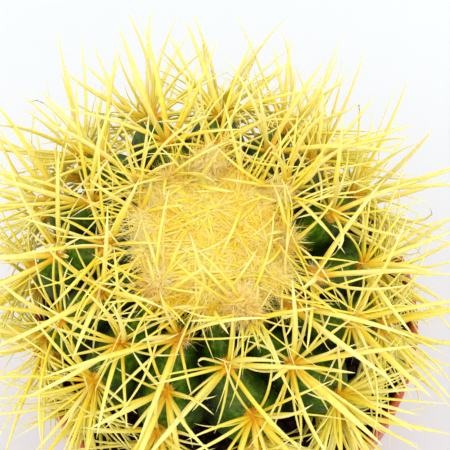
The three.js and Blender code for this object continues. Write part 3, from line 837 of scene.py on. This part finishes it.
def cut_drains(pot):
    """Round holes through the pot's floor."""
    form = bmesh.new()
    for turn in full_turn(DRAIN.count):
        middle = Vector(around(DRAIN.circle, turn, POT.clearance + POT.floor)) * MM
        bmesh.ops.create_cone(
            form,
            cap_ends=True,
            segments=DRAIN.segments,
            radius1=DRAIN.radius * MM,
            radius2=DRAIN.radius * MM,
            depth=4 * POT.floor * MM,
            matrix=Matrix.Translation(middle),
        )
    cutter = add_object("drain_cutter", bpy.data.meshes.new("drain_cutter"))
    form.to_mesh(cutter.data)
    form.free()
    cut = pot.modifiers.new("drains", "BOOLEAN")
    cut.object = cutter
    cut.operation = "DIFFERENCE"
    cut.solver = "EXACT"
    bpy.context.view_layer.update()
    made = bpy.data.meshes.new_from_object(pot.evaluated_get(bpy.context.evaluated_depsgraph_get()))
    pot.modifiers.clear()
    pot.data = made
    bpy.data.objects.remove(cutter)


def make_pot():
    turn = full_turn(POT.segments)
    rings = [around(r, turn, z) for r, z in pot_profile()]
    faces = grid_faces(len(rings), POT.segments, True)
    pot = mesh_from("pot_shell", np.concatenate(rings), faces, pot_paint())
    cut_drains(pot)
    return pot


def soil_height(r, turn):
    first, second = (turns * turn for turns in SOIL.lump_turns)
    lumps = np.sin(first + r / SOIL.lump_length[0]) * np.cos(second - r / SOIL.lump_length[1])
    coarse, crossing, fine = (np.sin(turns * turn + r * run) for turns, run in SOIL.grain)
    grain = SOIL.grain_height * (coarse * crossing + fine * 0.5)
    return POT.height - SOIL.below_rim + SOIL.lump * lumps + grain


def make_soil():
    """The soil's lumpy top, and its side down to the pot's floor."""
    inner = POT.rim - POT.collar_wall - POT.lip - SOIL.gap
    turn = full_turn(SOIL.columns)
    radii = np.linspace(SOIL.top_middle, inner, SOIL.rings)
    base = POT.height - POT.collar
    bottom = POT.clearance + POT.floor + SOIL.gap
    side = (
        (inner - SOIL.draft, base + POT.wall + SOIL.gap),
        (POT.shoulder - POT.wall - 2 * SOIL.gap, base - SOIL.gap),
        (POT.foot - POT.wall - SOIL.gap, bottom),
        (SOIL.base_middle, bottom),
    )
    rings = [around(r, turn, soil_height(r, turn)) for r in radii]
    rings += [around(r, turn, z) for r, z in side]
    faces = grid_faces(len(rings), SOIL.columns, True)
    return mesh_from("soil_bed", np.concatenate(rings), faces, soil_paint("soil", "100804", "2c180b"))


def make_lumps(name, kind, draw, paint):
    """Rough lumps strewn over the ring of soil that shows, sunk a little into it."""
    count = kind.count
    points, faces = icosphere(1)
    low, high = LUMP.ring
    r = np.sqrt(draw.uniform(low**2, high**2, count))
    turn = draw.uniform(0, 2 * np.pi, count)
    size = mix(*kind.size, draw.uniform(0, 1, count) ** LUMP.prevail)
    shape = draw.uniform(1 - kind.stretch, 1 + kind.stretch, (count, 1, 3)) * size[:, None, None]
    lumps = points[None] * shape * draw.uniform(*LUMP.roughness, (count, len(points), 1))
    spin = random_units(draw, count)
    other = unit(np.cross(spin, random_units(draw, count)))
    basis = np.stack([spin, other, np.cross(spin, other)], 1)
    lumps = np.einsum("npk,nkj->npj", lumps, basis)
    centre = around(r, turn, soil_height(r, turn) + LUMP.stand * size)
    placed = (lumps + centre[:, None]).reshape(-1, 3)
    return mesh_from(name, placed, repeated(faces, count, len(points)), paint, smooth=False)


def make_skin():
    """The ribbed skin, with the flesh of each rib swelling a little between its areoles."""
    places = np.arange(len(RIBS) * BODY.columns) / BODY.columns
    arcs = np.arange(STOPS.arc[BODY.first_stop], STOPS.arc[-1], BODY.row_step)
    place, arc = np.meshgrid(places, arcs)
    into = groove_share(place % 1)
    rib = np.floor(place + 0.5).astype(int) % len(RIBS)
    wave = np.cos(2 * np.pi * (arc - RIB_START[rib]) / AREOLE.pitch)
    low, high = BODY.chin_fades
    lower = np.clip((arc - low) / (high - low), 0, 1)
    swell = -BODY.chin * wave * (1 - into) ** BODY.chin_power * lower
    points = skin_point(place.ravel(), arc.ravel(), swell.ravel())
    turn = polar(points[-len(places) :])[1]
    neck = [around(r, turn, z) for r, z in BODY.neck]
    faces = grid_faces(len(arcs) + len(neck), len(places), True)
    skin = mesh_from("cactus_skin", planted(np.concatenate([points, *neck])), faces, skin_paint())
    # The groove note masks the skin's painted shade: 1 in a groove's middle, and on the neck below the soil.
    depth = groove_depth(at_arc(arc, "r"), at_arc(arc, "angle")) / BODY.groove_depth
    groove = into * np.clip(depth, 0, 1)
    note_on(skin, "groove", np.concatenate([groove.ravel(), np.ones(len(neck) * len(places))]))
    return skin


def make_spines(rib, paint):
    """One rib's spines, finer and more of them than in the solid that they stand for."""
    draw = draws(100 + rib)
    areoles = areoles_of(rib)
    kinds = [draw_spines(kind, areoles, draw) for kind in (CENTRAL, LOWER, RADIAL)]
    full = abs(RIB_AZIMUTH[rib] - BODY.full_side) < SWOLLEN.within
    for kind in (FLANK, SWOLLEN) if full else (FLANK,):
        lower = areoles_at(rib, areoles.arc[areoles.arc > kind.from_arc])
        kinds.append(draw_spines(kind, lower, draw))
    if RIB_START[rib] > YOUNG.from_start:
        young = areoles_at(rib, np.array([RIB_START[rib] - AREOLE.pitch]))
        young.surface = young.surface + young.normal * YOUNG.lift
        kinds.append(draw_spines(YOUNG, young, draw))
    strong = [settled(single_spine(areoles, *values)) for on, *values in STRONG if on == rib]
    curls = [single_spine(areoles, *curl) for on, *curl in CURLED if on == rib]
    for curl in curls:
        aim(curl)
    grown = together([off_clearings(settled(together(kinds))), *strong, *curls])
    fit_in_box(grown)
    return mesh_of_spines("rib_%02d_spines" % (rib + 1), grown, paint, draw)


def mesh_of_spines(name, grown, paint, draw):
    centre = spine_lines(grown, np.linspace(0, 1, SPINE.rings))
    stoutness = (grown.radii - PALER.thin) / (PALER.stout - PALER.thin)
    lot = mix(draw.uniform(0, 1, len(grown.roots)), np.clip(stoutness, 0, 1), PALER.share)
    return bundle(name, centre, grown.across, grown.radii, SPINE.sides, SPINE.flat, paint, lot)


def areole_cushion(middle, basis, size, draw):
    """Points, faces and tones of the low cushion under an areole's hairs."""
    ball, faces = icosphere(2)
    points = ball * size * draw.uniform(*AREOLE.roughness, (len(ball), 1)) @ basis + middle
    return points, faces, np.full(len(ball), AREOLE.tone)


def areole_hairs(middle, basis, size, young, draw):
    """Points, faces and tones of an areole's hairs, longer and paler on a young one."""
    count = AREOLE.hairs
    seat = random_units(draw, count)
    seat[:, 2] = np.abs(seat[:, 2])
    roots = seat * size * AREOLE.seat @ basis + middle
    out = unit(seat * AREOLE.spread + AREOLE.wild * random_units(draw, count)) @ basis
    lengths = draw.uniform(*AREOLE.hair, count) * (AREOLE.young_hair if young else 1)
    bend = AREOLE.bend * random_units(draw, count)
    curl = AREOLE.curl * random_units(draw, count)
    face = random_units(draw, count)
    points, faces, each = ribbons(roots, out, bend, curl, lengths, AREOLE.width, AREOLE.steps, face)
    rim = polar(seat)[0] * (AREOLE.young_paler if young else AREOLE.paler)
    tone = np.clip(AREOLE.tone - rim + draw.normal(0, AREOLE.tone_spread, count), 0, 1)
    return points, faces, np.repeat(tone, each)


def make_areole_wool(paint):
    """Short curled hairs on a low cushion at every areole, darkest where the spines stand."""
    draw = draws(200)
    parts = []
    for rib in range(len(RIBS)):
        areoles = areoles_of(rib)
        for i, middle in enumerate(areoles.surface):
            basis = np.stack([areoles.down[i], areoles.across[i], areoles.normal[i]])
            size = np.array([AREOLE.along, AREOLE.across, AREOLE.height]) * draw.uniform(*AREOLE.size)
            young = areoles.arc[i] < AREOLE.young_arc
            parts.append(areole_cushion(middle, basis, size, draw))
            parts.append(areole_hairs(middle, basis, size, young, draw))
    points, groups, tones = zip(*parts)
    starts = np.cumsum([0] + [len(part) for part in points])
    faces = [face for start, group in zip(starts, groups) for face in (group + start).tolist()]
    wool = mesh_from("areole_wool", planted(np.concatenate(points)), faces, paint)
    note_on(wool, "lot", np.concatenate(tones))
    return wool


def make_crown_felt(paint):
    """The crown's cushion of felt, in the dish at the apex."""
    share = np.linspace(FELT.start, 1, FELT.rows)[:, None]
    turn = full_turn(FELT.columns)[None, :]
    r = share * crown_radius(turn)
    turn = np.broadcast_to(turn, r.shape)
    ripple = FELT.ripple * np.sin(FELT.ripple_turns * turn + r) * np.cos(FELT.ripple_run * r)
    wrinkle = FELT.wrinkle * np.sin(FELT.wrinkle_turns * turn - FELT.wrinkle_run * r)
    top = crown_top(r, turn) + (ripple + wrinkle) * (1 - share**FELT.flat_edge)
    points = around(r, turn, top).reshape(-1, 3)
    edge = points[-FELT.columns :].copy()
    edge[:, 2] -= CROWN.edge_thickness + FELT.sink
    edge[:, :2] *= FELT.tuck
    points = np.concatenate([points, edge, edge * [FELT.hole, FELT.hole, 1]])
    felt = mesh_from("crown_felt", planted(points), grid_faces(FELT.rows + 2, FELT.columns, True), paint)
    note_on(felt, "lot", np.full(len(points), FELT.tone))
    inner, outer = (hair_edge(turn) + fade for fade in FELT.bare_fades)
    bare = eased(r, inner, outer)
    note_on(felt, "bare", np.concatenate([bare.ravel(), np.tile(bare[-1], 2)]))
    return felt


def make_crown_hairs(paint):
    """Hairs matted over the felt, to an uneven edge, and paler towards one side."""
    draw = draws(300)
    count = MATTED.hairs
    turn = draw.uniform(0, 2 * np.pi, count)
    r = hair_edge(turn) * np.sqrt(draw.uniform(0, 1, count))
    side = bell(past(turn, MATTED.cream_side) / MATTED.cream_width)
    tones = MATTED.tone - MATTED.cream * r / CROWN.radius * side
    tones = np.clip(tones + draw.normal(0, MATTED.tone_spread, count), 0, MATTED.tone_limit)
    roots = around(r, turn, crown_top(r, turn) + draw.uniform(*MATTED.rise, count))
    heading = draw.uniform(0, 2 * np.pi, count)
    tilt = np.radians(draw.uniform(*MATTED.tilt, count))
    hairs = frizzy(MATTED, roots, unit(around(1, heading, 1 / np.tan(tilt))), draw)
    return mesh_of_hairs("crown_hairs", hairs, tones, paint)


def make_crown_tufts(paint):
    """Frizzy tan tufts where the youngest areoles are, with brown flecks low down in them."""
    draw = draws(600)
    sizes = np.array(TUFTS, float)
    pick = np.repeat(np.arange(len(sizes)), (TUFT.hairs * sizes[:, 2]).astype(int))
    azimuth, distance, size = sizes[pick].T
    count = len(pick)
    ball = random_units(draw, count) * draw.uniform(0, 1, (count, 1)) ** 0.5
    roots = around(distance, np.radians(azimuth), 0.0) + ball * (size * TUFT.spread)[:, None]
    height = np.abs(ball[:, 2])
    roots[:, 2] = crown_top(*polar(roots)) + TUFT.rise * size * height
    out = unit(ball * [1, 1, 0] + [0, 0, TUFT.lift] + TUFT.wild * random_units(draw, count))
    hairs = frizzy(TUFT, roots, out, draw)
    flecks = TUFT.fleck * draw.uniform(0, 1, count) ** TUFT.fleck_power * (1 - height)
    tones = TUFT.tone - TUFT.paler * polar(ball)[0] + flecks
    tones = np.clip(tones + draw.normal(0, TUFT.tone_spread, count), 0, 1)
    return mesh_of_hairs("crown_tufts", hairs, tones, paint)


def make_crown_spines(paint):
    """Young bright spines in fans, which lie over the felt and cross each other."""
    draw = draws(400)
    fans = STRAND.fans
    order = np.arange(fans)
    pick = np.repeat(order, STRAND.fan)
    count = len(pick)
    low, high = STRAND.ring
    distance = np.sqrt(mix(low**2, high**2, (order + 0.5) / fans))
    r = distance[pick] + draw.normal(0, STRAND.scatter, count)
    turn = (GOLDEN_TURN * order)[pick] + draw.normal(0, STRAND.scatter_turn, count)
    inward = np.where(draw.uniform(0, 1, count) < STRAND.outward, 0, np.pi)
    of_fan, own = STRAND.headings
    headed = turn + inward + draw.normal(0, of_fan, fans)[pick] + draw.normal(0, own, count)
    of_fan, own = STRAND.curves
    curve = STRAND.curve * (draw.normal(0, of_fan, fans)[pick] + draw.normal(0, own, count))
    share = np.linspace(0, 1, SPINE.rings)
    angle = headed[:, None] + curve[:, None] * share
    lengths = draw.uniform(*STRAND.length, count)
    plan = around(r, turn, 0.0)[:, None] + run_along(around(1, angle, 0.0), share) * lengths[:, None, None]
    radius, azimuth = polar(plan)
    lift = draw.uniform(*STRAND.lift, count)[:, None]
    arch = draw.uniform(*STRAND.arch, count)[:, None] * np.sin(np.pi * share**STRAND.arch_power)
    beyond = STRAND.rise * np.maximum(0, radius - CROWN.radius)
    plan[..., 2] = crown_top(radius, azimuth) + (lift + arch) * eased(share, *STRAND.lift_fades) + beyond
    radii = draw.uniform(*STRAND.radius, count)
    up = [0, 0, 1] + STRAND.sway * random_units(draw, count)
    lot = draw.uniform(0, 1, count)
    return bundle("crown_spines", plan, up, radii, STRAND.sides, STRAND.flat, paint, lot)


def make_crown_bunches(paint):
    """Longer spines that stand in the crown's tufts and lean outwards over the body."""
    draw = draws(500)
    azimuth, distance, size = np.array(TUFTS, float).T
    turn = np.radians(azimuth)
    outward = around(1, turn, 0)
    surface = outward * distance[:, None]
    surface[:, 2] = crown_top(distance, turn) + BUNCH.lift * size
    lean = np.radians(BUNCH.lean)
    up = np.array([0.0, 0.0, 1.0])
    normal = outward * np.sin(lean) + up * np.cos(lean)
    down = outward * np.cos(lean) - up * np.sin(lean)
    tufts = Sizes(arc=distance, surface=surface, normal=normal, down=down, across=np.cross(normal, down))
    grown = off_clearings(settled(draw_spines(BUNCH, tufts, draw)))
    fit_in_box(grown)
    return mesh_of_spines("crown_bunches", grown, paint, draw)


# Stage
def place_camera():
    back = Vector(towards_camera())
    camera = add_object("camera", bpy.data.cameras.new("camera"))
    camera.data.lens = CAMERA.lens
    camera.data.sensor_width = CAMERA.sensor
    camera.location = Vector(CAMERA.target) * MM + back * CAMERA.distance * MM
    camera.rotation_euler = back.to_track_quat("Z", "Y").to_euler()
    bpy.context.scene.camera = camera


def area_light(name, place, power):
    light = add_object(name, bpy.data.lights.new(name, "AREA"))
    light.data.energy = power
    light.data.size = LAMP_SIZE
    light.location = place
    light.rotation_euler = (Vector(place) - Vector(LAMP_TARGET)).to_track_quat("Z", "Y").to_euler()


def make_floor():
    paint = Paint("pale_floor", Roughness=0.8, Specular_IOR_Level=0.2)
    paint.finish("Base Color", paint.ramp(paint.noise(3, 2), (0.3, "d8dcde"), (0.7, "dbdfe1")))
    half = FLOOR_HALF
    corners = [(-half, -half, 0), (half, -half, 0), (half, half, 0), (-half, half, 0)]
    floor = mesh_from("floor", corners, [(0, 1, 2, 3)], paint.made, smooth=False)


def light_scene():
    world = bpy.data.worlds.new("studio")
    world.use_nodes = True
    sky = world.node_tree.nodes["Background"]
    sky.inputs["Color"].default_value = (1.0, 1.0, 1.0, 1)
    sky.inputs["Strength"].default_value = SKY_STRENGTH
    bpy.context.scene.world = world
    bpy.context.scene.view_settings.view_transform = "Standard"
    for name, (place, power) in LAMPS.items():
        area_light(name, place, power)


def dress(piece, slot, *nodes):
    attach(piece, "root")
    if nodes:
        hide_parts(*nodes)


dress(make_pot(), "pot_plastic", "pot")
dress(make_soil(), "soil", "soil")
dress(make_lumps("soil_crumbs", CRUMBS, draws(1), soil_paint("soil_crumb", "160b05", "3d2412")), "soil")
dress(make_lumps("soil_bark", BARK, draws(2), soil_paint("soil_bark", "1a0e07", "3f2413")), "soil")
dress(make_skin(), "cactus_skin", "cactus_body")

OLD_TONES = ("e6a414", "f0bf18", "f1d92a", "f0e04e", "f9eea2")
YOUNG_TONES = ("f9cf2c", "fbd930", "fde040", "fee65c", "fee97e")
spine_yellow = spine_paint("spine", OLD_TONES, clear=0.45, depth=0.001, gloss=0.36, patches=0.1)
young_spine = spine_paint("young_spine", YOUNG_TONES, clear=0.6, depth=0.0005, gloss=0.08, patches=0.4)
for rib_index in range(len(RIBS)):
    dress(make_spines(rib_index, spine_yellow), "spine", "spines_rib_%02d" % (rib_index + 1))

areole_felt = wool_paint("areole_wool", ("fae2a4", "f8c83e", "f0b022", "c27e24"))
crown_felt = wool_paint("crown_felt", ("ffd628", "ffc818", "fdb814", "eaa42c"), depth=0.4)
crown_hair = wool_paint("crown_hair", ("fff1a4", "ffdf3c", "ffcc1e", "f4b62c"))
tuft_hair = wool_paint("tuft_hair", ("fff4b8", "ffea94", "ffdb76", "c8903c"))
dress(make_areole_wool(areole_felt), "wool")
dress(make_crown_felt(crown_felt), "wool", "woolly_crown")
dress(make_crown_hairs(crown_hair), "wool")
dress(make_crown_tufts(tuft_hair), "wool")
dress(make_crown_spines(young_spine), "spine")
dress(make_crown_bunches(spine_yellow), "spine")

place_camera()
make_floor()
light_scene()
